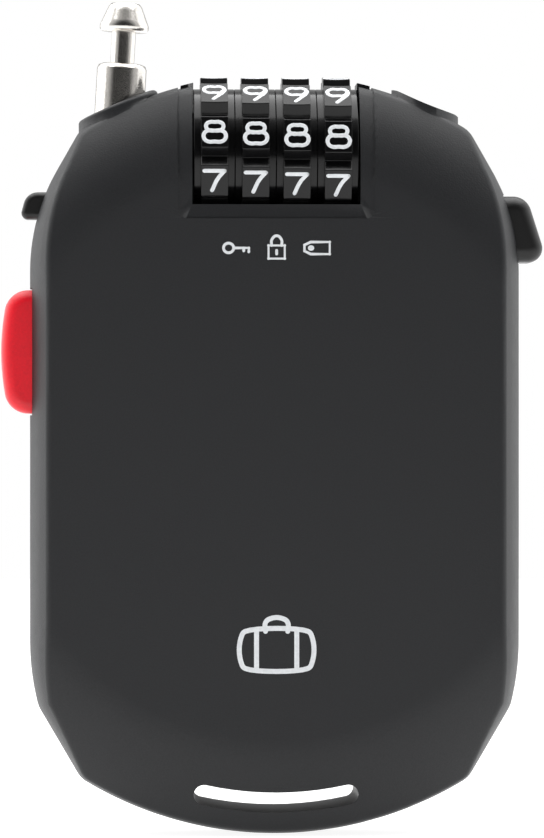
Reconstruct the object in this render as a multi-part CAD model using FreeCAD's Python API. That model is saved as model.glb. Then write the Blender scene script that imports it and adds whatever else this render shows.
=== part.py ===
import FreeCAD, Part
import math
import os
from FreeCAD import Vector as V

# Cable luggage lock, standing on its lower edge. Millimetres, +Z up, front face towards -Y.
# The origin is the bottom centre of the casing, on the plane where its two halves meet.

# casing
HALF_W = 30.0
ARCH_R = 45.0
TOP_Z = 93.05
DEPTH = 8.85
SIDE_INSET = 2.36
SIDE_POWER = 2.4
WALL = 1.8
KNEE_R = 3.4
RIM_R = 1.1
COLLAR_DEPTH = 4.95
DISH_R = 24.0
BOTTOM_KNEE_X = 23.8
SIDE_START_Z = 15.6
SIDE_ARC_R = 31.0
SIDE_ARC_TOP_Z = 23.6
SHOULDER_Z = 75.5
SHOULDER_R = 25.0
SHOULDER_DEG = 29.7
CROWN_R = 18.0
CROWN_START = 33.0

# dial window and dials
WINDOW_HALF = 10.2
WINDOW_Z = 76.8
BAND_W = 1.7
BAND_DEPTH = 0.22
DIAL_Z = 83.1
DIAL_PITCH = 5.0
DIAL_W = 4.94
PAD_APOTHEM = 9.58
PAD_HALF = 1.95
PAD_RING_W = 3.3
GROOVE_R = 8.6
FLANK_R = 8.2
DIAL_CLEAR_R = 10.0
CAGE_IN = 10.02
CAGE_TOP_HALF = 3.0
DIGIT_DEG = 13.0
DIAL_TURNS_DEG = [1.8, 0.6, -0.6, -1.8]
HUB_R = 5.0
SHAFT_R = 1.5
FIN_R = 2.5
RUN = 0.05

# cable, plug and reel
LEAN_DEG = 3.3
EXIT_X = -19.2
EXIT_Z = 86.0
CABLE_R = 1.2
LANE = 2.45
REEL_Z = 35.5
BARREL_R = 3.05
BARREL_LOW = -9.4
BARREL_TOP = 8.4
NECK_R = 1.475
NECK_TOP = 12.4
HEAD_TOP = 15.8
GUIDE_R = 3.7
GUIDE_TOP = -3.2
DRUM_R = 10.9
FLANGE_R = 25.0
AXLE_R = 1.95
TEETH = 36

# socket, latch and buttons
SOCKET_X = 18.5
SOCKET_R = 3.9
SOCKET_BORE = 3.3
SOCKET_TOP = 87.4
SOCKET_STEP = 78.2
SOCKET_FLOOR = 70.6
BUTTON_HALF = 3.6
DOME_R = 30.0
TAB_HALF = 1.6
GAP = 0.2
PAWL_X = -21.5
PAWL_Z = 53.0

SCREWS = [(-21.5, 15.5), (21.5, 15.5), (-25.0, 71.0), (25.0, 62.0)]
SCREW_SEAT = 6.4
PINS = [(-26.0, 24.0), (26.0, 24.0), (0.0, 64.6)]

LEAN = math.radians(LEAN_DEG)
AXIS = V(math.sin(LEAN), 0, math.cos(LEAN))
EXIT = V(EXIT_X, 0, EXIT_Z)
REEL_R = abs(EXIT_X) * math.cos(LEAN) + (EXIT_Z - REEL_Z) * math.sin(LEAN)
LEAD_LOW = (V(0, 0, REEL_Z) - EXIT).dot(AXIS) + 0.6


# basic solids

def box(x0, x1, y0, y1, z0, z1):
    return Part.makeBox(x1 - x0, y1 - y0, z1 - z0, V(x0, y0, z0))


def cyl_x(r, x0, x1, y=0.0, z=0.0):
    return Part.makeCylinder(r, x1 - x0, V(x0, y, z), V(1, 0, 0))


def cyl_y(r, y0, y1, x, z):
    return Part.makeCylinder(r, y1 - y0, V(x, y0, z), V(0, 1, 0))


def cyl_z(r, z0, z1, x, y=0.0):
    return Part.makeCylinder(r, z1 - z0, V(x, y, z0), V(0, 0, 1))


def on_lean(shape):
    """Move a shape built on the Z axis to the plug's leaning axis."""
    shape.rotate(V(0, 0, 0), V(0, 1, 0), LEAN_DEG)
    shape.translate(EXIT)
    return shape


def joined(shapes):
    return shapes[0].multiFuse(shapes[1:]).removeSplitter()


def turned(points):
    """Solid of revolution about Z from (radius, height) points."""
    pts = [V(r, 0, z) for r, z in points]
    return Part.Face(Part.makePolygon(pts + [pts[0]])).revolve(V(0, 0, 0), V(0, 0, 1), 360)


def plate(points, y0, y1):
    """Polygon in the XZ plane, thickened from y0 to y1."""
    pts = [V(x, y0, z) for x, z in points]
    return Part.Face(Part.makePolygon(pts + [pts[0]])).extrude(V(0, y1 - y0, 0))


def mirrored_x(p):
    return V(-p.x, p.y, p.z)


def front_to_back(shape):
    return shape.mirror(V(0, 0, 0), V(0, 1, 0))


def coil_x(radius, wire, x0, x1, turns, y, z):
    """Compression spring along X."""
    helix = Part.makeHelix((x1 - x0 - 2 * wire) / turns, x1 - x0 - 2 * wire, radius)
    ring = Part.Wire(Part.makeCircle(wire, V(radius, 0, 0), V(0, 1, 0)))
    spring = helix.makePipeShell([ring], True, True)
    spring.rotate(V(0, 0, 0), V(0, 1, 0), 90)
    spring.translate(V(x0 + wire, y, z))
    return spring


# casing

def outline_wire(corner_r):
    """The casing's outline on its parting plane, with softened corners."""
    top_centre = TOP_Z - ARCH_R
    turn = math.radians(SHOULDER_DEG)
    reach = SHOULDER_R * math.tan(turn / 2)
    b = V(BOTTOM_KNEE_X, 0, ARCH_R - math.sqrt(ARCH_R**2 - BOTTOM_KNEE_X**2))
    side_centre = V(HALF_W - SIDE_ARC_R, 0, SIDE_ARC_TOP_Z)
    drop = SIDE_ARC_TOP_Z - SIDE_START_Z
    s0 = side_centre + V(math.sqrt(SIDE_ARC_R**2 - drop**2), 0, -drop)
    half = math.asin(drop / SIDE_ARC_R) / 2
    s1 = side_centre + V(math.cos(half), 0, -math.sin(half)) * SIDE_ARC_R
    s2 = V(HALF_W, 0, SIDE_ARC_TOP_Z)
    h0 = V(HALF_W, 0, SHOULDER_Z - reach)
    h1 = h0 + V(math.cos(turn / 2) - 1, 0, math.sin(turn / 2)) * SHOULDER_R
    h2 = V(HALF_W - reach * math.sin(turn), 0, SHOULDER_Z + reach * math.cos(turn))
    away = V(-math.sin(turn), 0, math.cos(turn))
    arm = h2 - V(0, 0, top_centre)
    along = -arm.dot(away) + math.sqrt(arm.dot(away) ** 2 - arm.dot(arm) + ARCH_R**2)
    t = h2 + away * along
    right = [Part.LineSegment(b, s0), Part.Arc(s0, s1, s2), Part.LineSegment(s2, h0)]
    right += [Part.Arc(h0, h1, h2), Part.LineSegment(h2, t)]
    m = mirrored_x
    left = [Part.LineSegment(m(t), m(h2)), Part.Arc(m(h2), m(h1), m(h0)), Part.LineSegment(m(h0), m(s2))]
    left += [Part.Arc(m(s2), m(s1), m(s0)), Part.LineSegment(m(s0), m(b))]
    curves = [Part.Arc(m(b), V(0, 0, 0), b)] + right + [Part.Arc(t, V(0, 0, TOP_Z), m(t))] + left
    sharp = Part.Face(Part.Wire([c.toShape() for c in curves])).extrude(V(0, 1, 0))
    corners = []
    for edge in sharp.Edges:
        p = edge.Vertexes[0].Point
        upright = abs(edge.Vertexes[0].Y - edge.Vertexes[-1].Y) > 0.5
        if upright and any(abs(abs(p.x) - k.x) < 0.01 and abs(p.z - k.z) < 0.01 for k in (b, s0, t)):
            corners.append(edge)
    soft = sharp.makeFillet(corner_r, corners)
    flat = [f for f in soft.Faces if abs(f.CenterOfMass.y) < 1e-6 and f.Area > 100]
    return flat[0].OuterWire


OUTLINE = outline_wire(KNEE_R)
INNER_OUTLINE = outline_wire(KNEE_R + 3.2)


def inset(wire, by):
    if by < 1e-6:
        return wire.copy()
    return wire.makeOffset2D(-by)


def crown(skin):
    """Front half of the lens that rounds over the casing's top and bottom edges."""
    top_c = TOP_Z - ARCH_R
    nose = CROWN_R - skin
    face_y = -(DEPTH - skin)
    lift = CROWN_R - DEPTH
    a = math.acos(lift / nose)
    pieces = []
    start = CROWN_START
    for centre, sweep in ((top_c, -180), (ARCH_R, 180)):
        rim = V(start + nose * math.sin(a), 0, centre)
        mid = V(start + nose * math.sin(a / 2), lift - nose * math.cos(a / 2), centre)
        edges = [Part.LineSegment(V(0, face_y, centre), V(start, face_y, centre)).toShape()]
        edges += [Part.Arc(V(start, face_y, centre), mid, rim).toShape()]
        edges += [Part.LineSegment(rim, V(0, 0, centre)).toShape()]
        edges += [Part.LineSegment(V(0, 0, centre), V(0, face_y, centre)).toShape()]
        face = Part.Face(Part.Wire(edges))
        pieces.append(face.revolve(V(0, 0, centre), V(0, 1, 0), sweep))
    pieces.append(box(-40, 40, face_y, 0, ARCH_R - 0.01, top_c + 0.01))
    return pieces[0].fuse(pieces[1]).fuse(pieces[2]).removeSplitter()


def side_inset(depth):
    """How far the bulging side has come in at a depth from the parting plane."""
    return SIDE_INSET * (depth / DEPTH) ** SIDE_POWER


def front_block(skin):
    """Front half of the casing as a solid, shrunk by a skin thickness."""
    wires = []
    for step in range(4):
        depth = (DEPTH - skin) * step / 3
        lean = 1 + 0.13 * (depth / DEPTH) ** 2
        wire = inset(INNER_OUTLINE if skin > 1 else OUTLINE, side_inset(depth) + skin * lean)
        wire.translate(V(0, -depth, 0))
        wires.append(wire)
    return Part.makeLoft(wires, True, skin > 1).common(crown(skin))


def rounded_rim(block):
    """Round the rim where the drafted sides meet the front."""
    rim = []
    for edge in block.Edges:
        if edge.BoundBox.YMax > -3.0:
            continue
        faces = block.ancestorsOfType(edge, Part.Face)
        if len(faces) != 2:
            continue
        p = edge.valueAt((edge.FirstParameter + edge.LastParameter) / 2)
        normals = []
        for face in faces:
            u, v = face.Surface.parameter(p)
            normals.append(face.normalAt(u, v))
        if normals[0].getAngle(normals[1]) > 0.15:
            rim.append(edge)
    for radius in (RIM_R, RIM_R * 0.75, RIM_R * 0.5):
        try:
            soft = block.makeFillet(radius, rim)
            if soft.isValid() and soft.Volume > 0.9 * block.Volume:
                return soft
        except Exception:
            continue
    return block


def slot_tool(grow):
    """Curved lanyard slot, following the casing's lower edge."""
    inner = ARCH_R - 5.46 - grow
    outer = ARCH_R - 2.94 + grow
    mid = (inner + outer) / 2
    end = math.asin(8.75 / mid)
    r = (outer - inner) / 2
    shape = cyl_y(outer, -12, 12, 0, ARCH_R).cut(cyl_y(inner, -13, 13, 0, ARCH_R))
    x, z = mid * math.sin(end), ARCH_R - mid * math.cos(end)
    far = 30.0
    wedge = plate([(0, ARCH_R), (x * far / mid * 2, ARCH_R - (ARCH_R - z) * far / mid * 2),
                   (-x * far / mid * 2, ARCH_R - (ARCH_R - z) * far / mid * 2)], -12, 12)
    shape = shape.common(wedge)
    return shape.fuse(cyl_y(r, -12, 12, x, z)).fuse(cyl_y(r, -12, 12, -x, z)).removeSplitter()


def collar(x, half, z, slope, dish):
    """Raised rim around a cable hole in the crown, with a slanted top that may be dished."""
    ring = Part.Ellipse(V(x, 0, 84.6), COLLAR_DEPTH, half)
    ring.XAxis = V(0, 1, 0)
    prism = Part.Face(Part.Wire(ring.toShape())).extrude(V(0, 0, 9))
    z0, z1 = z + slope * (-10), z + slope * 10
    keep = plate([(x - 10, 80), (x + 10, 80), (x + 10, z1), (x - 10, z0)], -9, 9)
    body = prism.common(keep)
    if dish:
        a = math.atan(slope)
        up = DISH_R - dish
        body = body.cut(cyl_y(DISH_R, -9, 9, x - up * math.sin(a), z + up * math.cos(a)))
    top = [e for e in body.Edges if e.BoundBox.ZMin > z - 3.2 and e.Length > 8 and e.BoundBox.ZMax < z + 4]
    for radius in (0.5, 0.35, 0.2):
        try:
            soft = body.makeFillet(radius, top)
            if soft.isValid():
                return soft
        except Exception:
            continue
    return body


def front_half(shape):
    return shape.common(box(-45, 45, -20, 0, -5, 110))


def shell_blank():
    """Hollow front half with its window, holes, slot and side openings."""
    outer = rounded_rim(front_block(0.0))
    beads = [front_half(collar(EXIT_X, 4.85, 89.36, 0.4277, 0)), front_half(collar(SOCKET_X, 4.1, 89.55, -0.41, 0.3))]
    outer = outer.fuse(beads[0]).fuse(beads[1])
    inner = front_block(WALL)
    inner = inner.cut(slot_tool(1.2))
    for bead in beads:
        inner = inner.cut(bead)
    shell = outer.cut(inner)
    window = box(-WINDOW_HALF, WINDOW_HALF, -12, 1, WINDOW_Z, 100)
    scoop = cyl_x(DIAL_CLEAR_R, -WINDOW_HALF, WINDOW_HALF, 0, DIAL_Z)
    band_x = WINDOW_HALF + BAND_W
    band = box(-band_x, band_x, -12, 0, WINDOW_Z - BAND_W, 100)
    low = [e for e in band.Edges if e.BoundBox.ZMax < WINDOW_Z and e.BoundBox.YLength > 5]
    band = band.makeFillet(1.0, low).cut(front_block(BAND_DEPTH))
    cheeks = cheek(0.06, -1).fuse(cheek(0.06, 1))
    shell = shell.cut(window).cut(scoop).cut(band).cut(cheeks).cut(slot_tool(0.0))
    shell = shell.cut(on_lean(cyl_z(3.3, -4, 14, 0)))
    mouth = Part.makeCone(SOCKET_BORE, SOCKET_BORE + 0.9, 1.2, V(0, 0, -0.6), V(0, 0, 1))
    mouth.rotate(V(0, 0, 0), V(0, 1, 0), 22.3)
    mouth.translate(V(SOCKET_X, 0, 89.4))
    shell = shell.cut(cyl_z(SOCKET_R + 0.03, 80, SOCKET_TOP + 0.02, SOCKET_X))
    shell = shell.cut(cyl_z(SOCKET_BORE + 0.25, 80, 96, SOCKET_X)).cut(mouth)
    half = BUTTON_HALF + GAP
    shell = shell.cut(box(-36, -24, -half, 1, 51.25, 66.75))
    shell = shell.cut(box(24, 36, -half, 1, 69.8, 78.3))
    half = TAB_HALF + GAP
    return shell.cut(box(-36, -24, -half, 1, 75.05, 78.85))


def cheek(grow, side):
    """Side plate of the dial cage. Its top comes up flush between the window and the casing's crown."""
    x0 = CAGE_IN - (0.1 if grow else 0.0)
    foot = box(x0, CAGE_IN + 1.2 + grow, -6.9 - grow, 6.9 + grow, 71.2 - grow, 74.6)
    leg = box(x0, CAGE_IN + 1.2 + grow, -5.0 - grow, 5.0 + grow, 74.0, 88.0)
    top = box(x0, CAGE_IN + 1.55 + grow, -CAGE_TOP_HALF - grow, CAGE_TOP_HALF + grow, 87.0, 95.0)
    shape = foot.fuse(leg).fuse(top)
    if not grow:
        shape = shape.common(cyl_y(ARCH_R, -12, 12, 0, TOP_Z - ARCH_R))
    if side < 0:
        return shape.mirror(V(0, 0, 0), V(1, 0, 0))
    return shape


def inner_depth(skin=0.0):
    return DEPTH - WALL + skin


def boss(x, z, r):
    return cyl_y(r, -inner_depth(0.3), 0, x, z)


def front_shell():
    shell = shell_blank()
    extra = [boss(x, z, 2.4) for x, z in SCREWS] + [boss(x, z, 1.7) for x, z in PINS]
    extra.append(cyl_y(3.4, -inner_depth(0.3), -inner_depth(), 0, REEL_Z))
    extra.append(box(-23.2, -22.5, -inner_depth(0.3), 1.8, 57.0, 63.0))
    extra.append(box(3.3, 4.0, -inner_depth(0.3), 1.4, 66.4, 70.0))
    extra.append(box(15.0, 22.0, -inner_depth(0.3), -2.8, 66.4, 69.0))
    extra.append(socket_rib(-1))
    extra.append(guide_rib(-1))
    shell = shell.multiFuse(extra)
    for x, z in SCREWS:
        shell = shell.cut(cyl_y(1.0, -6.0, 1, x, z))
    for x, z in PINS:
        shell = shell.cut(cyl_y(0.8, -2.5, 1, x, z))
    shell = shell.cut(cyl_y(AXLE_R, -8.0, 0, 0, REEL_Z))
    return shell


def back_shell():
    shell = front_to_back(shell_blank())
    extra = [front_to_back(boss(x, z, 2.4)) for x, z in SCREWS]
    extra += [front_to_back(boss(x, z, 1.7)) for x, z in PINS]
    extra.append(box(15.0, 22.0, 2.8, inner_depth(0.3), 66.4, 69.0))
    extra.append(socket_rib(1))
    extra.append(guide_rib(1))
    shell = shell.multiFuse(extra)
    for x, z in SCREWS:
        shell = shell.cut(cyl_y(1.0, -1, 9, x, z)).cut(cyl_y(2.1, SCREW_SEAT, 12, x, z))
    for x, z in PINS:
        shell = shell.cut(cyl_y(0.8, -1, 2.5, x, z))
    shell = shell.cut(cyl_y(AXLE_R, 0, 8.0, 0, REEL_Z))
    shell = shell.cut(cyl_y(0.8, 0, 8.0, PAWL_X, PAWL_Z))
    return shell


def socket_rib(side):
    rib = box(15.2, 21.8, 2.0, inner_depth(0.3), 79.0, 80.4).cut(cyl_z(SOCKET_R, 70, 90, SOCKET_X))
    return rib if side > 0 else front_to_back(rib)


def guide_rib(side):
    rib = box(-22.6, -16.0, 2.0, inner_depth(0.3), 79.4, 80.8).cut(on_lean(cyl_z(GUIDE_R, -14, 4, 0)))
    return rib if side > 0 else front_to_back(rib)


def case_screws():
    parts = []
    for x, z in SCREWS:
        head = cyl_y(1.95, SCREW_SEAT, SCREW_SEAT + 1.35, x, z)
        low = SCREW_SEAT + 0.65
        drive = box(x - 1.2, x + 1.2, low, 9, z - 0.25, z + 0.25)
        drive = drive.fuse(box(x - 0.25, x + 0.25, low, 9, z - 1.2, z + 1.2))
        parts.append(head.cut(drive).fuse(cyl_y(1.0, -5.5, SCREW_SEAT, x, z)))
    return Part.makeCompound(parts)


def locating_pins():
    return Part.makeCompound([cyl_y(0.8, -2.4, 2.4, x, z) for x, z in PINS])


# dial cage and dials

def dial_cage():
    cage = cheek(0.0, -1).fuse(cheek(0.0, 1))
    cage = cage.fuse(box(-WINDOW_HALF - 0.5, WINDOW_HALF + 0.5, -6.9, 6.9, 71.2, 72.1))
    for side in (-1, 1):
        rim = box(-WINDOW_HALF - 0.5, WINDOW_HALF + 0.5, 5.9, 6.9, 72.0, 74.6)
        cage = cage.fuse(rim if side > 0 else front_to_back(rim))
    cage = cage.cut(cyl_x(DIAL_CLEAR_R, -CAGE_IN, CAGE_IN, 0, DIAL_Z))
    return cage.cut(cyl_x(SHAFT_R + RUN, -14, 14, 0, DIAL_Z)).removeSplitter()


def spline(r_out, r_in, x0, x1, turn):
    """Ten shallow teeth around the X axis, for the clutch between a dial and its hub."""
    shape = cyl_x(r_in, x0, x1)
    for k in range(10):
        tooth = box(x0, x1, -0.5, 0.5, r_in - 0.6, r_out)
        tooth.rotate(V(0, 0, 0), V(1, 0, 0), 36 * k + turn)
        shape = shape.fuse(tooth)
    return shape.removeSplitter()


def dial_centre(k):
    return (k - 1.5) * DIAL_PITCH


def dial(k):
    """One number dial: ten flat pads between V grooves, and two smooth flanks."""
    turn = DIGIT_DEG + DIAL_TURNS_DEG[k]
    corner = math.degrees(math.atan2(PAD_HALF, PAD_APOTHEM))
    tip = math.hypot(PAD_HALF, PAD_APOTHEM)
    pts = []
    for n in range(10):
        mid = turn + 36 * n
        for angle, r in ((mid - corner, tip), (mid + corner, tip), (mid + 18, GROOVE_R)):
            a = math.radians(angle)
            pts.append(V(0, -r * math.cos(a), r * math.sin(a)))
    ring = Part.Face(Part.makePolygon(pts + [pts[0]])).extrude(V(PAD_RING_W, 0, 0))
    ring.translate(V(-PAD_RING_W / 2, 0, 0))
    body = cyl_x(FLANK_R, -DIAL_W / 2, DIAL_W / 2).fuse(ring)
    body = body.cut(spline(HUB_R + 0.4, HUB_R, -3, 3, turn))
    body.translate(V(dial_centre(k), 0, DIAL_Z))
    return body


def clutch_hub(k):
    """Sleeve inside a dial, with a chamber the shaft's fin slides in."""
    turn = DIGIT_DEG + DIAL_TURNS_DEG[k]
    hub = spline(HUB_R + 0.3, HUB_R - 0.06, -2.25, 2.25, turn)
    hub = hub.cut(cyl_x(SHAFT_R + RUN, -3, 3)).cut(cyl_x(FIN_R + 0.3, -1.75, 2.26))
    hub = hub.cut(box(-3, -1.0, -0.6, 0.6, 0, FIN_R + 0.3))
    hub.translate(V(dial_centre(k), 0, DIAL_Z))
    return hub


def dial_shaft():
    shape = cyl_x(SHAFT_R, -12.3, 14.3, 0, DIAL_Z)
    for k in range(4):
        fin = box(-0.4, 0.4, -0.45, 0.45, 0, FIN_R)
        fin.translate(V(dial_centre(k) + 1.4, 0, DIAL_Z))
        shape = shape.fuse(fin)
    return shape.removeSplitter()


def detent_spring():
    """Leaf under the dials with one bowed finger for each."""
    leaf = box(-10.0, 10.0, 4.0, 5.6, 72.1, 72.3)
    for k in range(4):
        x = dial_centre(k)
        leaf = leaf.fuse(strip_y(x))
    return leaf.removeSplitter()


def strip_y(x):
    """Bowed finger running along Y at one dial."""
    upper = [(4.6, 72.3), (2.0, 72.55), (0.0, 72.8), (-2.0, 72.6), (-3.2, 72.3)]
    pts = [V(x - 1.0, y, z) for y, z in upper] + [V(x - 1.0, y, z - 0.2) for y, z in reversed(upper)]
    return Part.Face(Part.makePolygon(pts + [pts[0]])).extrude(V(2.0, 0, 0))


# plug, cable and reel

def plug():
    shape = turned([(0, BARREL_LOW), (BARREL_R, BARREL_LOW), (BARREL_R, BARREL_TOP - 0.6),
                    (BARREL_R - 0.17, BARREL_TOP - 0.18), (BARREL_R - 0.6, BARREL_TOP), (NECK_R, BARREL_TOP),
                    (NECK_R, NECK_TOP), (2.75, NECK_TOP), (3.0, NECK_TOP + 0.3), (3.0, NECK_TOP + 0.75),
                    (2.05, HEAD_TOP - 0.35), (1.76, HEAD_TOP), (0, HEAD_TOP)])
    shape = shape.cut(cyl_z(CABLE_R, BARREL_LOW - 1, BARREL_LOW + 6, 0))
    return on_lean(shape)


def cable_lead():
    return on_lean(cyl_z(CABLE_R, LEAD_LOW, BARREL_LOW + 6, 0))


def winding_points():
    """Crossing points of the wound cable with the reel's level plane, from the outer end inwards."""
    p = LANE
    points = [(REEL_R, 0.0)]
    for _ in range(7):
        points.append((points[-1][0] - p / 2, 0.0))
    points.append((points[-1][0] - 0.3 * p, -p))
    points.append((points[-1][0] + 0.8 * p, -p))
    for _ in range(6):
        points.append((points[-1][0] + p / 2, -p))
    points.append((points[-1][0] + 0.3 * p, -2 * p))
    points.append((points[-1][0] - 0.8 * p, -2 * p))
    for _ in range(6):
        points.append((points[-1][0] - p / 2, -2 * p))
    return points


def cable_wound():
    """The cable on its reel: half turns whose ends all run square to the level plane."""
    first = Part.Arc(reel_point(REEL_R, LEAN_DEG), reel_point(REEL_R, LEAN_DEG / 2), reel_point(REEL_R, 0))
    edges = [first.toShape()]
    side, low = -1, -1
    points = winding_points()
    for (a, ya), (b, yb) in zip(points, points[1:]):
        start = V(side * a, ya, REEL_Z)
        end = V(-side * b, yb, REEL_Z)
        mid = (start + end) * 0.5 + V(0, 0, low * (end - start).Length / 2)
        edges.append(Part.Arc(start, mid, end).toShape())
        side, low = -side, -low
    ring = Part.Wire(Part.makeCircle(CABLE_R, reel_point(REEL_R, LEAN_DEG), AXIS))
    return Part.Wire(edges).makePipeShell([ring], True, False)


def reel_point(r, degrees):
    a = math.radians(degrees)
    return V(-r * math.cos(a), 0, REEL_Z + r * math.sin(a))


def reel_drum():
    shape = cyl_y(DRUM_R, -6.75, 1.5, 0, REEL_Z)
    shape = shape.fuse(cyl_y(FLANGE_R, -6.75, -6.15, 0, REEL_Z)).fuse(cyl_y(FLANGE_R - 0.4, 1.5, 2.1, 0, REEL_Z))
    wall = cyl_y(FLANGE_R - 1.0, 2.1, 6.0, 0, REEL_Z).cut(cyl_y(FLANGE_R - 1.8, 2.1, 6.0, 0, REEL_Z))
    shape = shape.fuse(wall)
    shape = shape.cut(cyl_y(8.9, -5.6, 1.5, 0, REEL_Z).cut(cyl_y(3.4, -5.6, 1.5, 0, REEL_Z)))
    for k in range(6):
        a = math.radians(60 * k + 30)
        shape = shape.cut(cyl_y(3.6, -8, -6, 17.4 * math.cos(a), REEL_Z + 17.4 * math.sin(a)))
    return shape.cut(cyl_y(AXLE_R + RUN, -8, 8, 0, REEL_Z)).removeSplitter()


def reel_cover():
    """Rear cover of the spring chamber, with the brake's ratchet teeth around it."""
    pts = []
    for k in range(TEETH):
        a = 2 * math.pi * k / TEETH
        b = a + 2 * math.pi / TEETH * 0.08
        pts.append((FLANGE_R * math.cos(a), REEL_Z + FLANGE_R * math.sin(a)))
        pts.append(((FLANGE_R - 1.1) * math.cos(b), REEL_Z + (FLANGE_R - 1.1) * math.sin(b)))
    shape = plate(pts, 6.0, 6.6)
    for k in range(3):
        a = math.radians(120 * k + 90)
        shape = shape.cut(cyl_y(3.0, 5, 8, 14 * math.cos(a), REEL_Z + 14 * math.sin(a)))
    return shape.cut(cyl_y(AXLE_R + RUN, 5, 8, 0, REEL_Z))


def reel_axle():
    return cyl_y(AXLE_R, -8.0, 8.0, 0, REEL_Z)


def reel_washers():
    parts = []
    for y0, y1 in ((-7.0, -6.8), (6.7, 6.95)):
        parts.append(cyl_y(3.3, y0, y1, 0, REEL_Z).cut(cyl_y(AXLE_R + 0.02, y0, y1, 0, REEL_Z)))
    return Part.makeCompound(parts)


def spring_arbor():
    shape = cyl_y(3.9, 2.3, 5.8, 0, REEL_Z).cut(cyl_y(AXLE_R, 2, 7, 0, REEL_Z))
    return shape.cut(box(3.2, 4.2, 2, 7, REEL_Z - 0.5, REEL_Z + 0.1))


def power_spring():
    """Flat spiral spring, built as one band of half turns."""
    t, p = 0.34, 1.3
    r = 4.15
    going, coming = [], []
    x, side = r, 1
    for k in range(27):
        nxt = x + p / 2
        c = (side * x - side * nxt) / 2
        mean = (x + nxt) / 2
        up = 1 if k % 2 == 0 else -1
        for gap, store in ((t / 2, going), (-t / 2, coming)):
            rad = mean + gap
            store.append(Part.Arc(V(c + side * rad, 2.4, REEL_Z), V(c, 2.4, REEL_Z + up * rad),
                                  V(c - side * rad, 2.4, REEL_Z)).toShape())
        x, side = nxt, -side
    a0 = going[0].Vertexes[0].Point
    b0 = coming[0].Vertexes[0].Point
    a1 = going[-1].valueAt(going[-1].LastParameter)
    b1 = coming[-1].valueAt(coming[-1].LastParameter)
    ends = [Part.LineSegment(a0, b0).toShape(), Part.LineSegment(a1, b1).toShape()]
    wire = Part.Wire(Part.__sortEdges__(going + coming + ends))
    return Part.Face(wire).extrude(V(0, 3.3, 0))


def cable_anchor():
    """Clamp block that holds the cable's inner end against the drum."""
    ring = cyl_y(13.1, -6.1, -3.75, 0, REEL_Z).cut(cyl_y(DRUM_R, -7, -3, 0, REEL_Z))
    side = winding_end_side()
    a0, a1 = math.radians(1.0), math.radians(24.0)
    wedge = plate([(0, REEL_Z), (side * 30 * math.cos(a0), REEL_Z + 30 * math.sin(a0) * winding_end_up()),
                   (side * 30 * math.cos(a1), REEL_Z + 30 * math.sin(a1) * winding_end_up())], -7, -3)
    return ring.common(wedge)


def winding_end_side():
    """Side of the reel where the inner end of the cable lies."""
    return -1 if len(winding_points()) % 2 == 1 else 1


def winding_end_up():
    """The cable's inner end meets the level plane from one side; the clamp sits on the other."""
    return -1 if len(winding_points()) % 2 == 1 else 1


def exit_guide():
    low = BARREL_LOW - 2.3
    shape = cyl_z(GUIDE_R, low, GUIDE_TOP, 0).cut(cyl_z(BARREL_R + RUN, BARREL_LOW - 0.3, 1, 0))
    return on_lean(shape.cut(cyl_z(CABLE_R + 0.3, low - 1, 0, 0)))


# latch and buttons

def plug_socket():
    shape = cyl_z(SOCKET_R, SOCKET_FLOOR - 1, SOCKET_TOP, SOCKET_X)
    shape = shape.cut(cyl_z(SOCKET_BORE, SOCKET_STEP, SOCKET_TOP + 1, SOCKET_X))
    shape = shape.cut(cyl_z(BARREL_R + RUN, SOCKET_FLOOR, SOCKET_STEP + 1, SOCKET_X))
    return shape.cut(box(SOCKET_X - 5, SOCKET_X - 1, -2.0, 2.0, 75.0, 77.8))


def latch_bolt():
    shape = box(13.5, 24.6, -2.5, 2.5, 67.0, 69.3).fuse(box(13.5, 14.3, -2.5, 2.5, 67.0, 85.2))
    tip = plate([(14.3, 75.4), (16.8, 75.4), (16.8, 76.0), (15.4, 77.4), (14.3, 77.4)], -1.6, 1.6)
    shape = shape.fuse(tip).fuse(cyl_x(1.0, 12.0, 13.5, 0, 68.2))
    return shape.cut(cyl_x(SHAFT_R, 13, 15, 0, DIAL_Z)).removeSplitter()


def latch_spring():
    return coil_x(1.0, 0.2, 4.02, 9.7, 6, 0, 68.2)


def soft_cap(points, half, corners, rim_r):
    """Button cap: a profile in the XZ plane with rounded outer corners, then a rounded rim."""
    cap = plate(points, -half, half)
    for (x, z), radius in corners:
        upright = [e for e in cap.Edges if e.BoundBox.YLength > half and abs(e.BoundBox.Center.x - x) < 0.01
                   and abs(e.BoundBox.Center.z - z) < 0.01]
        cap = cap.makeFillet(radius, upright)
    inner_x = points[0][0]
    rims = [e for e in cap.Edges if e.BoundBox.YLength < 0.01
            and (abs(e.BoundBox.XMin - inner_x) > 0.01 or abs(e.BoundBox.XMax - inner_x) > 0.01)]
    return cap.makeFillet(rim_r, rims)


def release_button():
    cap = soft_cap([(27.0, 70.0), (33.48, 70.0), (30.9, 78.1), (27.0, 78.1)], BUTTON_HALF,
                   [((33.48, 70.0), 1.75), ((30.9, 78.1), 2.3)], 1.65)
    stem = box(25.5, 28.4, -2.3, 2.3, 71.3, 76.8)
    flange = box(24.6, 25.5, -4.2, 4.2, 69.3, 78.5)
    foot = box(24.6, 25.6, -2.5, 2.5, 67.0, 69.4)
    web = box(25.4, 27.1, -BUTTON_HALF, BUTTON_HALF, 70.0, 78.1)
    return cap.fuse(stem).fuse(web).fuse(flange).fuse(foot).removeSplitter()


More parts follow.
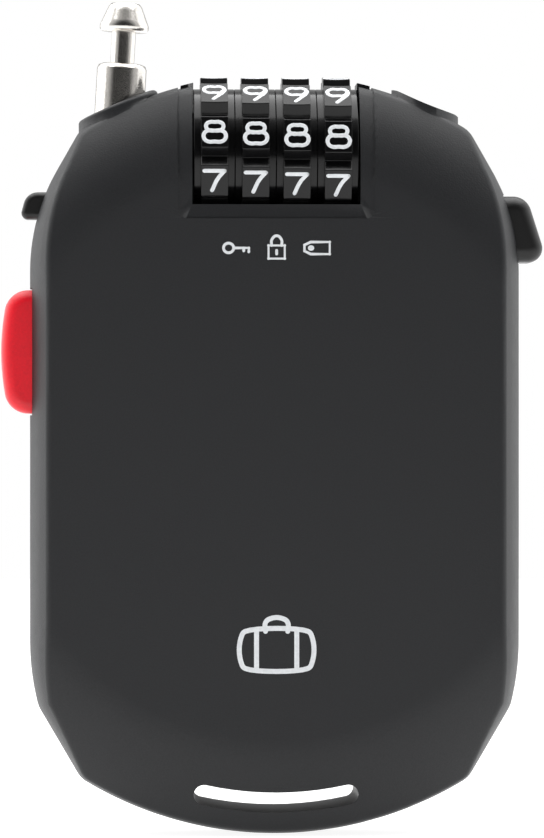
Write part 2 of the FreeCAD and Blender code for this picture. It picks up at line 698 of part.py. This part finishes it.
def brake_button():
    """Press button with a domed outer face and a finger that reaches the brake pawl."""
    z0, z1, mid = 51.45, 66.55, 59.0
    cap = box(-34.0, -26.0, -BUTTON_HALF, BUTTON_HALF, z0, z1)
    cap = cap.common(cyl_y(DOME_R, -9.0, 9.0, -33.5 + DOME_R, mid))
    ends = [e for e in cap.Edges if e.BoundBox.YLength > BUTTON_HALF and e.BoundBox.XMax < -27]
    cap = cap.makeFillet(2.9, ends)
    rims = [e for e in cap.Edges if e.BoundBox.YLength < 0.01 and e.BoundBox.XMin < -26.1]
    cap = cap.makeFillet(1.5, rims)
    flange = box(-26.4, -25.4, -4.8, 4.8, 50.7, 67.3)
    finger = box(-26.0, -25.4, 4.0, 6.4, 48.8, 53.0)
    shape = cap.fuse(flange).fuse(finger)
    return shape.cut(cyl_x(1.9, -30.6, -24, 0, 60.0)).removeSplitter()


def brake_spring():
    return coil_x(1.4, 0.25, -28.8, -23.25, 6, 0, 60.0)


def brake_pawl():
    """Pawl whose tip rides just clear of the ratchet teeth."""
    arm = plate([(-22.9, 54.2), (-20.9, 51.5), (-13.9, 56.6), (-13.5, 57.9), (-14.6, 58.4)], 4.8, 6.8)
    tail = plate([(-22.95, 53.0), (-23.85, 49.9), (-23.7, 49.3), (-22.6, 49.2), (-20.4, 52.0)], 4.8, 6.8)
    shape = cyl_y(1.75, 4.8, 6.8, PAWL_X, PAWL_Z).fuse(arm).fuse(tail)
    shape = shape.cut(cyl_y(FLANGE_R + 0.3, 4, 7, 0, REEL_Z))
    return shape.cut(cyl_y(0.85, 4, 8, PAWL_X, PAWL_Z)).removeSplitter()


def pawl_pin():
    return cyl_y(0.8, 4.0, 8.0, PAWL_X, PAWL_Z)


def code_tab():
    cap = soft_cap([(-25.0, 75.25), (-31.3, 75.25), (-30.4, 78.6), (-25.0, 78.6)], TAB_HALF,
                   [((-31.3, 75.25), 0.8), ((-30.4, 78.6), 1.8)], 0.75)
    flange = box(-25.6, -24.8, -2.4, 2.4, 74.9, 79.0)
    web = box(-27.0, -25.0, -TAB_HALF, TAB_HALF, 75.25, 78.6)
    link = box(-25.3, -24.8, 2.4, 5.8, 76.0, 78.0)
    bar = box(-25.3, -16.5, 4.6, 5.8, 76.0, 78.0)
    return cap.fuse(web).fuse(flange).fuse(link).fuse(bar).removeSplitter()


def code_tab_spring():
    return coil_x(0.8, 0.18, -15.1, -11.25, 5, 5.2, 77.0)


NODES = {
    "front_shell": front_shell,
    "back_shell": back_shell,
    "case_screws": case_screws,
    "locating_pins": locating_pins,
    "dial_cage": dial_cage,
    "dial_shaft": dial_shaft,
    "detent_spring": detent_spring,
    "plug": plug,
    "cable_lead": cable_lead,
    "cable_wound": cable_wound,
    "cable_anchor": cable_anchor,
    "reel_drum": reel_drum,
    "reel_cover": reel_cover,
    "reel_axle": reel_axle,
    "reel_washers": reel_washers,
    "spring_arbor": spring_arbor,
    "power_spring": power_spring,
    "exit_guide": exit_guide,
    "plug_socket": plug_socket,
    "latch_bolt": latch_bolt,
    "latch_spring": latch_spring,
    "release_button": release_button,
    "brake_button": brake_button,
    "brake_spring": brake_spring,
    "brake_pawl": brake_pawl,
    "pawl_pin": pawl_pin,
    "code_tab": code_tab,
    "code_tab_spring": code_tab_spring,
}

os.makedirs("parts", exist_ok=True)
for name, make in NODES.items():
    make().exportStep("parts/" + name + ".step")
for k in range(4):
    dial(k).exportStep("parts/dial_%d.step" % (k + 1))
    clutch_hub(k).exportStep("parts/clutch_hub_%d.step" % (k + 1))
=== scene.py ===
import math
import bmesh
import bpy
from mathutils import Matrix, Vector


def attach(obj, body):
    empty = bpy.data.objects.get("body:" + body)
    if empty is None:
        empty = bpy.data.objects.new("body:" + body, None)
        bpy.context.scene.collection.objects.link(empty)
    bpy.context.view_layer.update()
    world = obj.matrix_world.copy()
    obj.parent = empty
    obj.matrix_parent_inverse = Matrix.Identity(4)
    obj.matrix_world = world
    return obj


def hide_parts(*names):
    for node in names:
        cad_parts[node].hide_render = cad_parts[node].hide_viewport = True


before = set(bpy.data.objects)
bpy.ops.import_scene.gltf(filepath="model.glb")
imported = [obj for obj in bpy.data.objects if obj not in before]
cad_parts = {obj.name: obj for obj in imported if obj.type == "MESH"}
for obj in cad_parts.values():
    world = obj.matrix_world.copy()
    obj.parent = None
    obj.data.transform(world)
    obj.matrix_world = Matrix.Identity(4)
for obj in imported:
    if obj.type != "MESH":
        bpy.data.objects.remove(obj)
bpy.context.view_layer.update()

# Cable luggage lock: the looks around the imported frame. Metres, front face towards -Y.
scene = bpy.context.scene
mm = 0.001
print("frame loaded", len(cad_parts), "nodes")


camera = {"target": (-0.3, 0.0, 50.8), "distance": 567.0, "azimuth": -1.7, "elevation": 0.0, "lens": 198.1,
          "sensor": 36.0, "clip": (0.01, 20.0)}


def placeCamera():
    data = bpy.data.cameras.new("studioCamera")
    view = bpy.data.objects.new("studioCamera", data)
    scene.collection.objects.link(view)
    data.lens = camera["lens"]
    data.sensor_width = camera["sensor"]
    data.clip_start, data.clip_end = camera["clip"]
    turn, rise = math.radians(camera["azimuth"]), math.radians(camera["elevation"])
    back = Vector((math.sin(turn) * math.cos(rise), -math.cos(turn) * math.cos(rise), math.sin(rise)))
    view.location = (Vector(camera["target"]) + back * camera["distance"]) * mm
    view.rotation_mode = "QUATERNION"
    view.rotation_quaternion = (-back).to_track_quat("-Z", "Y")
    scene.camera = view


# radiance met in each direction, from straight in front (0) round the sides (0.5) to behind (1)
world = {"steps": ((0.11, 0.02), (0.27, 0.7), (0.5, 0.72), (0.9, 0.6)), "seen": 1.0}


def lightWorld():
    # white where the camera sees it; for lighting, dim in front and bright behind and at the sides
    sky = bpy.data.worlds.new("studio")
    scene.world = sky
    sky.use_nodes = True
    nodes, links = sky.node_tree.nodes, sky.node_tree.links
    nodes.clear()
    out = nodes.new("ShaderNodeOutputWorld")
    seen = nodes.new("ShaderNodeBackground")
    seen.inputs["Color"].default_value = (1, 1, 1, 1)
    seen.inputs["Strength"].default_value = world["seen"]
    lit = nodes.new("ShaderNodeBackground")
    mix = nodes.new("ShaderNodeMixShader")
    path = nodes.new("ShaderNodeLightPath")
    coord = nodes.new("ShaderNodeTexCoord")
    split = nodes.new("ShaderNodeSeparateXYZ")
    ramp = nodes.new("ShaderNodeValToRGB")
    shift = nodes.new("ShaderNodeMapRange")
    shift.inputs["From Min"].default_value = -1.0
    links.new(coord.outputs["Generated"], split.inputs[0])
    links.new(split.outputs["Y"], shift.inputs["Value"])
    links.new(shift.outputs["Result"], ramp.inputs["Fac"])
    stops = ramp.color_ramp.elements
    while len(stops) < len(world["steps"]):
        stops.new(0.5)
    for stop, (position, light) in zip(stops, world["steps"]):
        stop.position = position
        stop.color = (light, light, light, 1)
    links.new(ramp.outputs["Color"], lit.inputs["Color"])
    links.new(path.outputs["Is Camera Ray"], mix.inputs[0])
    links.new(lit.outputs[0], mix.inputs[1])
    links.new(seen.outputs[0], mix.inputs[2])
    links.new(mix.outputs[0], out.inputs["Surface"])
    scene.view_settings.view_transform = "Standard"


lamps = {
    "leftPanel": ((-400, 190, 120), (0, 60, 50), (600, 700), 2.1),
    "rightPanel": ((400, 190, 110), (0, 60, 50), (600, 700), 1.5),
    "topPanel": ((0, 50, 480), (0, 0, 60), (700, 500), 4.3),
}


def hangLamps():
    for name, (place, aim, size, power) in lamps.items():
        data = bpy.data.lights.new(name, "AREA")
        data.shape = "RECTANGLE"
        data.size, data.size_y = size[0] * mm, size[1] * mm
        data.energy = power
        lamp = bpy.data.objects.new(name, data)
        scene.collection.objects.link(lamp)
        lamp.location = Vector(place) * mm
        lamp.rotation_mode = "QUATERNION"
        lamp.rotation_quaternion = (Vector(aim) - Vector(place)).to_track_quat("-Z", "Y")


# how much the grain lightens and darkens the colour
speckle = {"plain": 0.3, "softTouch": 1.2}

# noise scales are per metre, the bump's distance is in metres
grainNoise = {"fineDetail": 3.0, "broadScale": 60.0, "broadDetail": 4.0, "bumpDistance": 0.00004}


def makeGrainGroup():
    # fine moulded or painted grain: a bump normal, a small change of roughness and a speckled colour
    group = bpy.data.node_groups.new("fineGrain", "ShaderNodeTree")
    for name, value in (("Grain Size", 4000.0), ("Grain Depth", 0.1), ("Base Roughness", 0.5),
                        ("Unevenness", 0.05), ("Speckle", speckle["plain"])):
        socket = group.interface.new_socket(name, in_out="INPUT", socket_type="NodeSocketFloat")
        socket.default_value = value
    group.interface.new_socket("Base Colour", in_out="INPUT", socket_type="NodeSocketColor")
    group.interface.new_socket("Colour", in_out="OUTPUT", socket_type="NodeSocketColor")
    group.interface.new_socket("Normal", in_out="OUTPUT", socket_type="NodeSocketVector")
    group.interface.new_socket("Roughness", in_out="OUTPUT", socket_type="NodeSocketFloat")
    nodes, links = group.nodes, group.links
    inside, outside = nodes.new("NodeGroupInput"), nodes.new("NodeGroupOutput")
    coord = nodes.new("ShaderNodeTexCoord")
    fine = nodes.new("ShaderNodeTexNoise")
    fine.inputs["Detail"].default_value = grainNoise["fineDetail"]
    broad = nodes.new("ShaderNodeTexNoise")
    broad.inputs["Scale"].default_value = grainNoise["broadScale"]
    broad.inputs["Detail"].default_value = grainNoise["broadDetail"]
    bump = nodes.new("ShaderNodeBump")
    bump.inputs["Distance"].default_value = grainNoise["bumpDistance"]
    spread = nodes.new("ShaderNodeMath")
    spread.operation = "MULTIPLY_ADD"
    lower = nodes.new("ShaderNodeMath")
    lower.operation = "SUBTRACT"
    lower.inputs[1].default_value = 0.5
    links.new(coord.outputs["Object"], fine.inputs["Vector"])
    links.new(coord.outputs["Object"], broad.inputs["Vector"])
    links.new(inside.outputs["Grain Size"], fine.inputs["Scale"])
    links.new(inside.outputs["Grain Depth"], bump.inputs["Strength"])
    links.new(fine.outputs["Fac"], bump.inputs["Height"])
    links.new(broad.outputs["Fac"], lower.inputs[0])
    links.new(lower.outputs[0], spread.inputs[0])
    links.new(inside.outputs["Unevenness"], spread.inputs[1])
    links.new(inside.outputs["Base Roughness"], spread.inputs[2])
    shade = nodes.new("ShaderNodeMath")
    shade.operation = "MULTIPLY_ADD"
    shade.inputs[2].default_value = 1.0
    centred = nodes.new("ShaderNodeMath")
    centred.operation = "SUBTRACT"
    centred.inputs[1].default_value = 0.5
    tinted = nodes.new("ShaderNodeVectorMath")
    tinted.operation = "SCALE"
    links.new(fine.outputs["Fac"], centred.inputs[0])
    links.new(centred.outputs[0], shade.inputs[0])
    links.new(inside.outputs["Speckle"], shade.inputs[1])
    links.new(inside.outputs["Base Colour"], tinted.inputs[0])
    links.new(shade.outputs[0], tinted.inputs["Scale"])
    links.new(tinted.outputs["Vector"], outside.inputs["Colour"])
    links.new(bump.outputs["Normal"], outside.inputs["Normal"])
    links.new(spread.outputs[0], outside.inputs["Roughness"])
    return group


fineGrain = makeGrainGroup()

redScatter = 0.002  # metres that light travels inside the red plastic

finishes = {
    # name: colour, metallic, roughness, grain size, grain depth, unevenness, extra sockets
    "softTouch": ((0.0095, 0.0101, 0.0114), 0.0, 0.5, 5200.0, 0.6, 0.10, {"Specular IOR Level": 0.34}),
    "blackGloss": ((0.004, 0.004, 0.0042), 0.0, 0.17, 900.0, 0.03, 0.10, {"Specular IOR Level": 0.25}),
    "cageBlack": ((0.005, 0.005, 0.005), 0.0, 0.22, 900.0, 0.03, 0.08, {}),
    "buttonBlack": ((0.003, 0.003, 0.003), 0.0, 0.42, 3000.0, 0.25, 0.10, {"Specular IOR Level": 0.36}),
    "whiteInk": ((0.68, 0.70, 0.72), 0.0, 0.42, 3000.0, 0.05, 0.05, {}),
    "faceInk": ((0.66, 0.68, 0.70), 0.0, 0.5, 3000.0, 0.05, 0.05, {}),
    "nickel": ((0.62, 0.595, 0.56), 1.0, 0.2, 2600.0, 0.25, 0.12, {}),
    "redPlastic": ((0.72, 0.002, 0.014), 0.0, 0.42, 3500.0, 0.4, 0.10,
                   {"Subsurface Weight": 0.1, "Specular IOR Level": 0.4, "Sheen Weight": 0.25,
                    "Sheen Roughness": 0.4}),
    "steel": ((0.60, 0.60, 0.60), 1.0, 0.32, 1500.0, 0.08, 0.15, {}),
    "springSteel": ((0.40, 0.40, 0.42), 1.0, 0.35, 1500.0, 0.08, 0.15, {}),
    "blackSteel": ((0.10, 0.10, 0.105), 1.0, 0.38, 1500.0, 0.08, 0.15, {}),
    "zincCast": ((0.50, 0.50, 0.50), 1.0, 0.45, 1200.0, 0.25, 0.15, {}),
    "whitePlastic": ((0.62, 0.62, 0.58), 0.0, 0.45, 2500.0, 0.12, 0.10, {}),
    "greyPlastic": ((0.05, 0.05, 0.055), 0.0, 0.5, 2500.0, 0.15, 0.10, {}),
    "cableCoat": ((0.07, 0.07, 0.075), 0.0, 0.25, 1800.0, 0.1, 0.10, {"Coat Weight": 0.4}),
}


def makeFinish(name):
    colour, metallic, roughness, size, depth, uneven, extra = finishes[name]
    material = bpy.data.materials.new(name)
    material.use_nodes = True
    nodes, links = material.node_tree.nodes, material.node_tree.links
    shader = nodes["Principled BSDF"]
    shader.inputs["Metallic"].default_value = metallic
    for socket, value in extra.items():
        shader.inputs[socket].default_value = value
    if "Subsurface Weight" in extra:
        shader.inputs["Subsurface Scale"].default_value = redScatter
    grain = nodes.new("ShaderNodeGroup")
    grain.node_tree = fineGrain
    grain.inputs["Grain Size"].default_value = size
    grain.inputs["Grain Depth"].default_value = depth
    grain.inputs["Base Roughness"].default_value = roughness
    grain.inputs["Unevenness"].default_value = uneven
    grain.inputs["Base Colour"].default_value = colour + (1,)
    grain.inputs["Speckle"].default_value = speckle.get(name, speckle["plain"])
    links.new(grain.outputs["Colour"], shader.inputs["Base Color"])
    links.new(grain.outputs["Normal"], shader.inputs["Normal"])
    links.new(grain.outputs["Roughness"], shader.inputs["Roughness"])
    return material


made = {name: makeFinish(name) for name in finishes}
print("materials", len(made))


def smoothByAngle(mesh, degrees):
    mesh.shade_smooth()
    mesh.set_sharp_from_angle(angle=math.radians(degrees))


def finishPiece(name, shape, finish, body, replaced=(), bevel=0.0, degrees=32):
    mesh = bpy.data.meshes.new(name)
    bmesh.ops.recalc_face_normals(shape, faces=shape.faces)
    shape.to_mesh(mesh)
    shape.free()
    mesh.materials.append(made[finish])
    piece = bpy.data.objects.new(name, mesh)
    scene.collection.objects.link(piece)
    smoothByAngle(mesh, degrees)
    if bevel:
        softener = piece.modifiers.new("softEdges", "BEVEL")
        softener.width = bevel * mm
        softener.segments = 2
        softener.limit_method = "ANGLE"
        softener.angle_limit = math.radians(degrees)
        softener.harden_normals = True
    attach(piece, body)
    if replaced:
        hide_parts(*replaced)
    return piece


weldDistance = 0.000002


def weldedCopy(node, name, finish, body, degrees=28):
    # the frame's own shape with its triangles joined, so that round surfaces shade smoothly
    shape = bmesh.new()
    shape.from_mesh(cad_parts[node].data)
    bmesh.ops.remove_doubles(shape, verts=shape.verts, dist=weldDistance)
    mesh = bpy.data.meshes.new(name)
    shape.to_mesh(mesh)
    shape.free()
    mesh.materials.clear()
    mesh.materials.append(made[finish])
    smoothByAngle(mesh, degrees)
    piece = bpy.data.objects.new(name, mesh)
    scene.collection.objects.link(piece)
    even = piece.modifiers.new("evenShading", "WEIGHTED_NORMAL")  # keeps the flat faces flat
    even.keep_sharp = True
    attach(piece, body)
    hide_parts(node)
    return piece


placeCamera()
lightWorld()
hangLamps()

weldedCopy("front_shell", "frontShell", "softTouch", "casing")
weldedCopy("back_shell", "backShell", "softTouch", "casing")
weldedCopy("dial_cage", "dialCage", "cageBlack", "casing")
weldedCopy("plug_socket", "plugSocket", "zincCast", "casing")
weldedCopy("exit_guide", "exitGuide", "whitePlastic", "casing")
weldedCopy("plug", "plugBody", "nickel", "cable_end")
weldedCopy("brake_button", "brakeButton", "redPlastic", "brake")
weldedCopy("release_button", "releaseButton", "buttonBlack", "release")
weldedCopy("code_tab", "codeTab", "buttonBlack", "code_change")

plainNodes = {
    "steel": ("dial_shaft", "reel_axle", "reel_cover", "latch_bolt", "pawl_pin"),
    "springSteel": ("detent_spring", "latch_spring", "brake_spring", "code_tab_spring", "power_spring"),
    "blackSteel": ("case_screws",),
    "zincCast": ("cable_anchor", "spring_arbor", "brake_pawl"),
    "whitePlastic": ("locating_pins", "reel_washers", "clutch_hub_1", "clutch_hub_2", "clutch_hub_3",
                     "clutch_hub_4"),
    "greyPlastic": ("reel_drum",),
    "cableCoat": ("cable_lead", "cable_wound"),
}
for finish, names in plainNodes.items():
    for node in names:
        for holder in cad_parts[node].material_slots:
            holder.material = made[finish]
print("casing and carried nodes done")


dials = {
    "axisHeight": 83.1, "pitch": 5.0, "padApothem": 9.58, "padHalf": 1.95, "grooveRadius": 8.6,
    "ringWidth": 3.3, "flankRadius": 8.2, "width": 4.985, "dish": 0.06, "digitAngle": 13.0,
    "turns": (1.8, 0.6, -0.6, -1.8), "steps": 6, "edge": 0.09,
    "padCorners": 30, "flankSegments": 96, "cornerMargin": 0.05,
}


def shapeDial(index):
    d = dials
    start = d["digitAngle"] + d["turns"][index]
    corner = math.degrees(math.atan2(d["padHalf"], d["padApothem"]))
    tip = math.hypot(d["padHalf"], d["padApothem"])
    shape = bmesh.new()
    outline = bmesh.ops.create_circle(shape, cap_ends=False, segments=d["padCorners"], radius=1.0)["verts"]
    places = []
    for pad in range(10):
        middle = start + 36 * pad
        places += [(middle - corner, tip), (middle + corner, tip), (middle + 18, d["grooveRadius"])]
    for vert, (angle, radius) in zip(outline, places):
        a = math.radians(angle)
        vert.co = Vector((-d["ringWidth"] / 2, -radius * math.cos(a), radius * math.sin(a)))
    edges = list(shape.edges)
    for step in range(d["steps"]):
        grown = bmesh.ops.extrude_edge_only(shape, edges=edges)["geom"]
        fresh = [g for g in grown if isinstance(g, bmesh.types.BMVert)]
        edges = [g for g in grown if isinstance(g, bmesh.types.BMEdge)]
        bmesh.ops.translate(shape, verts=fresh, vec=(d["ringWidth"] / d["steps"], 0, 0))
    bmesh.ops.holes_fill(shape, edges=[e for e in shape.edges if e.is_boundary], sides=0)
    for vert in shape.verts:
        across = vert.co.x / (d["ringWidth"] / 2)
        radius = math.hypot(vert.co.y, vert.co.z)
        if radius > tip - d["cornerMargin"]:
            sunk = radius - d["dish"] * (1 - across * across)
            vert.co.y *= sunk / radius
            vert.co.z *= sunk / radius
    flank = bmesh.ops.create_cone(shape, cap_ends=True, segments=d["flankSegments"], radius1=d["flankRadius"],
                                  radius2=d["flankRadius"], depth=d["width"])["verts"]
    bmesh.ops.rotate(shape, verts=flank, cent=(0, 0, 0), matrix=Matrix.Rotation(math.radians(90), 3, "Y"))
    bmesh.ops.scale(shape, verts=shape.verts, vec=(mm, mm, mm))
    middleX = (index - 1.5) * d["pitch"] * mm
    bmesh.ops.translate(shape, verts=shape.verts, vec=(middleX, 0, d["axisHeight"] * mm))
    number = str(index + 1)
    finishPiece("dialWheel" + number, shape, "blackGloss", "dial_" + number + "_body",
                ("dial_" + number,), bevel=d["edge"], degrees=16)


digitInk = {"width": 3.0, "height": 2.98, "stroke": 0.245, "raise": 0.04, "shift": 0.0}

# strokes of each digit in a box two wide and two high; a third value of 1 marks a sharp turn
digitStrokes = {
    0: [("loop", (1, 0.5), (0.6, 1), (-0.6, 1), (-1, 0.5), (-1, -0.5), (-0.6, -1), (0.6, -1), (1, -0.5))],
    1: [("line", (-0.5, 0.6, 1), (0.15, 1, 1), (0.15, -1, 1))],
    2: [("line", (-0.95, 0.55), (-0.5, 0.98), (0.5, 0.98), (0.93, 0.5), (0.55, 0.05), (-0.98, -0.98, 1),
         (1, -0.98, 1))],
    3: [("line", (-0.9, 0.65), (-0.45, 1), (0.45, 1), (0.85, 0.55), (0.4, 0.08), (-0.2, 0.05)),
        ("line", (-0.2, 0.05), (0.5, 0.0), (1, -0.5), (0.5, -1), (-0.5, -1), (-1, -0.65))],
    4: [("line", (0.4, -1, 1), (0.4, 1, 1), (-1, -0.42, 1), (1, -0.42, 1))],
    5: [("line", (0.8, 1, 1), (-0.75, 1, 1), (-0.85, 0.12, 1), (0.1, 0.28), (0.8, 0.1), (1, -0.4),
         (0.5, -0.98), (-0.45, -1), (-1, -0.7))],
    6: [("line", (0.65, 1), (-0.2, 0.55), (-0.85, -0.1), (-1, -0.5), (-0.5, -1), (0.5, -1), (1, -0.5),
         (0.5, 0.0), (-0.45, 0.0), (-0.93, -0.35))],
    7: [("line", (-1, 1, 1), (0.95, 1, 1)), ("line", (0.95, 1, 1), (0.3, 0.2), (-0.25, -1))],
    8: [("loop", (0, 1), (0.42, 1), (0.78, 0.78), (0.78, 0.34), (0.42, 0.12), (0, 0.12), (-0.42, 0.12),
         (-0.78, 0.34), (-0.78, 0.78), (-0.42, 1)),
        ("loop", (0, 0.12), (0.62, 0.12), (1, -0.14), (1, -0.72), (0.62, -1), (0, -1), (-0.62, -1),
         (-1, -0.72), (-1, -0.14), (-0.62, 0.12))],
    9: [("line", (-0.08, -1), (0.42, -0.45), (0.9, 0.1), (1, 0.5), (0.6, 1), (0, 1), (-0.6, 1), (-1, 0.5),
         (-0.6, 0.02), (0, 0.02), (0.55, 0.02), (0.94, 0.4))],
}


def drawStrokes(strokes, ink):
    # flattened round strokes, lying in the XY plane around the origin
    curve = bpy.data.curves.new("inkLine", "CURVE")
    curve.dimensions = "3D"
    curve.resolution_u = 8
    curve.bevel_depth = ink["stroke"]
    curve.bevel_resolution = 2
    ends = []
    reachX = ink["width"] / 2 - ink["stroke"]
    reachY = ink["height"] / 2 - ink["stroke"]
    for kind, *points in strokes:
        spline = curve.splines.new("BEZIER")
        spline.bezier_points.add(len(points) - 1)
        spline.use_cyclic_u = kind == "loop"
        for knot, point in zip(spline.bezier_points, points):
            knot.co = (point[0] * reachX, point[1] * reachY, 0)
            sharp = len(point) == 3
            knot.handle_left_type = knot.handle_right_type = "VECTOR" if sharp else "AUTO"
            if sharp or (kind == "line" and point in (points[0], points[-1])):
                ends.append(knot.co.copy())
    holder = bpy.data.objects.new("inkLine", curve)
    scene.collection.objects.link(holder)
    bpy.context.view_layer.update()
    mesh = bpy.data.meshes.new_from_object(holder.evaluated_get(bpy.context.evaluated_depsgraph_get()))
    shape = bmesh.new()
    shape.from_mesh(mesh)
    bmesh.ops.holes_fill(shape, edges=[e for e in shape.edges if e.is_boundary], sides=0)
    for place in ends:
        bmesh.ops.create_uvsphere(shape, u_segments=12, v_segments=8, radius=ink["stroke"],
                                  matrix=Matrix.Translation(place))
    bmesh.ops.scale(shape, verts=shape.verts, vec=(1, 1, ink["raise"] / ink["stroke"]))
    bpy.data.objects.remove(holder)
    bpy.data.curves.remove(curve)
    bpy.data.meshes.remove(mesh)
    flat = bpy.data.meshes.new("inkFlat")
    shape.to_mesh(flat)
    shape.free()
    return flat


def inkDials():
    flats = [drawStrokes(digitStrokes[number], digitInk) for number in range(10)]
    d = dials
    half = d["ringWidth"] / 2
    for index in range(4):
        shape = bmesh.new()
        for number, flat in enumerate(flats):
            angle = math.radians(d["digitAngle"] + d["turns"][index] + 36 * (number - 8))
            outward = Vector((0, -math.cos(angle), math.sin(angle)))
            upward = Vector((0, math.sin(angle), math.cos(angle)))
            spot = outward * d["padApothem"]
            spot += Vector(((index - 1.5) * d["pitch"] + digitInk["shift"], 0, d["axisHeight"]))
            turn = Matrix((Vector((1, 0, 0)), upward, outward)).transposed().to_4x4()
            before = len(shape.verts)
            shape.from_mesh(flat)
            shape.verts.ensure_lookup_table()
            fresh = shape.verts[before:]
            for vert in fresh:  # the ink follows the pad's dish
                vert.co.z -= d["dish"] * (1 - ((vert.co.x + digitInk["shift"]) / half) ** 2)
            bmesh.ops.transform(shape, verts=fresh, matrix=Matrix.Translation(spot) @ turn)
        bmesh.ops.scale(shape, verts=shape.verts, vec=(mm, mm, mm))
        number = str(index + 1)
        finishPiece("dialDigits" + number, shape, "whiteInk", "dial_" + number + "_body",
                    degrees=60)
    for flat in flats:
        bpy.data.meshes.remove(flat)


for index in range(4):
    shapeDial(index)
inkDials()
print("dials and digits done")


# pictograms on the front: place (x, z), size and strokes in a box two wide and two high
faceMarks = {
    "plane": -8.85,
    "marks": {
        "padlockMark": ((0.0, 71.6), {"width": 2.3, "height": 3.1, "stroke": 0.17, "raise": 0.02}, [
            ("loop", (-1, -1, 1), (1, -1, 1), (1, 0.15, 1), (-1, 0.15, 1)),
            ("line", (-0.62, 0.15), (-0.6, 0.65), (0.0, 1.0), (0.6, 0.65), (0.62, 0.15)),
            ("line", (0.0, -0.28, 1), (0.0, -0.6, 1))]),
        "keyMark": ((-4.9, 71.5), {"width": 3.4, "height": 1.5, "stroke": 0.17, "raise": 0.02}, [
            ("loop", (-1, 0), (-0.6, 1), (-0.2, 0), (-0.6, -1)),
            ("line", (-0.2, 0, 1), (1, 0, 1), (1, -0.8, 1)),
            ("line", (0.6, 0, 1), (0.6, -0.6, 1))]),
        "tagMark": ((4.9, 71.5), {"width": 3.4, "height": 1.8, "stroke": 0.17, "raise": 0.02}, [
            ("loop", (-1, 0.5, 1), (-0.5, 1, 1), (1, 1, 1), (1, -1, 1), (-0.5, -1, 1), (-1, -0.5, 1)),
            ("loop", (-0.62, 0), (-0.48, 0.22), (-0.34, 0), (-0.48, -0.22))]),
        "suitcaseMark": ((0.0, 23.6), {"width": 9.0, "height": 6.6, "stroke": 0.3, "raise": 0.02}, [
            ("loop", (-0.9, -1), (0.9, -1), (1, -0.85), (1, 0.35), (0.9, 0.5), (-0.9, 0.5), (-1, 0.35),
             (-1, -0.85)),
            ("line", (-0.32, 0.5, 1), (-0.32, 0.85), (-0.2, 1), (0.2, 1), (0.32, 0.85), (0.32, 0.5, 1)),
            ("line", (-0.58, 0.5, 1), (-0.58, -1, 1)),
            ("line", (0.58, 0.5, 1), (0.58, -1, 1))]),
    },
}


def printFace():
    upright = Matrix.Rotation(math.radians(90), 4, "X")
    for name, ((x, z), ink, strokes) in faceMarks["marks"].items():
        flat = drawStrokes(strokes, ink)
        shape = bmesh.new()
        shape.from_mesh(flat)
        bpy.data.meshes.remove(flat)
        place = Matrix.Translation((x, faceMarks["plane"], z)) @ upright
        bmesh.ops.transform(shape, verts=shape.verts, matrix=Matrix.Scale(mm, 4) @ place)
        finishPiece(name, shape, "faceInk", "casing", degrees=60)


printFace()
print("face marks done")


# glow and colour are what the camera sees, bounce and underglow what lights the object
floorDisc = {"radius": 0.9, "glow": 0.9, "colour": (0.35, 0.35, 0.35), "bounce": (0.6, 0.6, 0.6),
             "underglow": 0.75}


def layFloor():
    shape = bmesh.new()
    bmesh.ops.create_circle(shape, cap_ends=True, segments=96, radius=floorDisc["radius"])
    mesh = bpy.data.meshes.new("floorDisc")
    shape.to_mesh(mesh)
    shape.free()
    material = bpy.data.materials.new("paleFloor")
    material.use_nodes = True
    nodes, links = material.node_tree.nodes, material.node_tree.links
    seen = nodes["Principled BSDF"]
    bounced = nodes.new("ShaderNodeBsdfPrincipled")
    for shader, colour in ((seen, floorDisc["colour"]), (bounced, floorDisc["bounce"])):
        shader.inputs["Base Color"].default_value = colour + (1,)
        shader.inputs["Roughness"].default_value = 0.9
        shader.inputs["Specular IOR Level"].default_value = 0.0
    seen.inputs["Emission Color"].default_value = (1, 1, 1, 1)
    seen.inputs["Emission Strength"].default_value = floorDisc["glow"]
    bounced.inputs["Emission Color"].default_value = (1, 1, 1, 1)
    bounced.inputs["Emission Strength"].default_value = floorDisc["underglow"]
    mix, path = nodes.new("ShaderNodeMixShader"), nodes.new("ShaderNodeLightPath")
    links.new(path.outputs["Is Camera Ray"], mix.inputs[0])
    links.new(bounced.outputs[0], mix.inputs[1])
    links.new(seen.outputs[0], mix.inputs[2])
    links.new(mix.outputs[0], nodes["Material Output"].inputs["Surface"])
    mesh.materials.append(material)
    floor = bpy.data.objects.new("floorDisc", mesh)
    scene.collection.objects.link(floor)


layFloor()
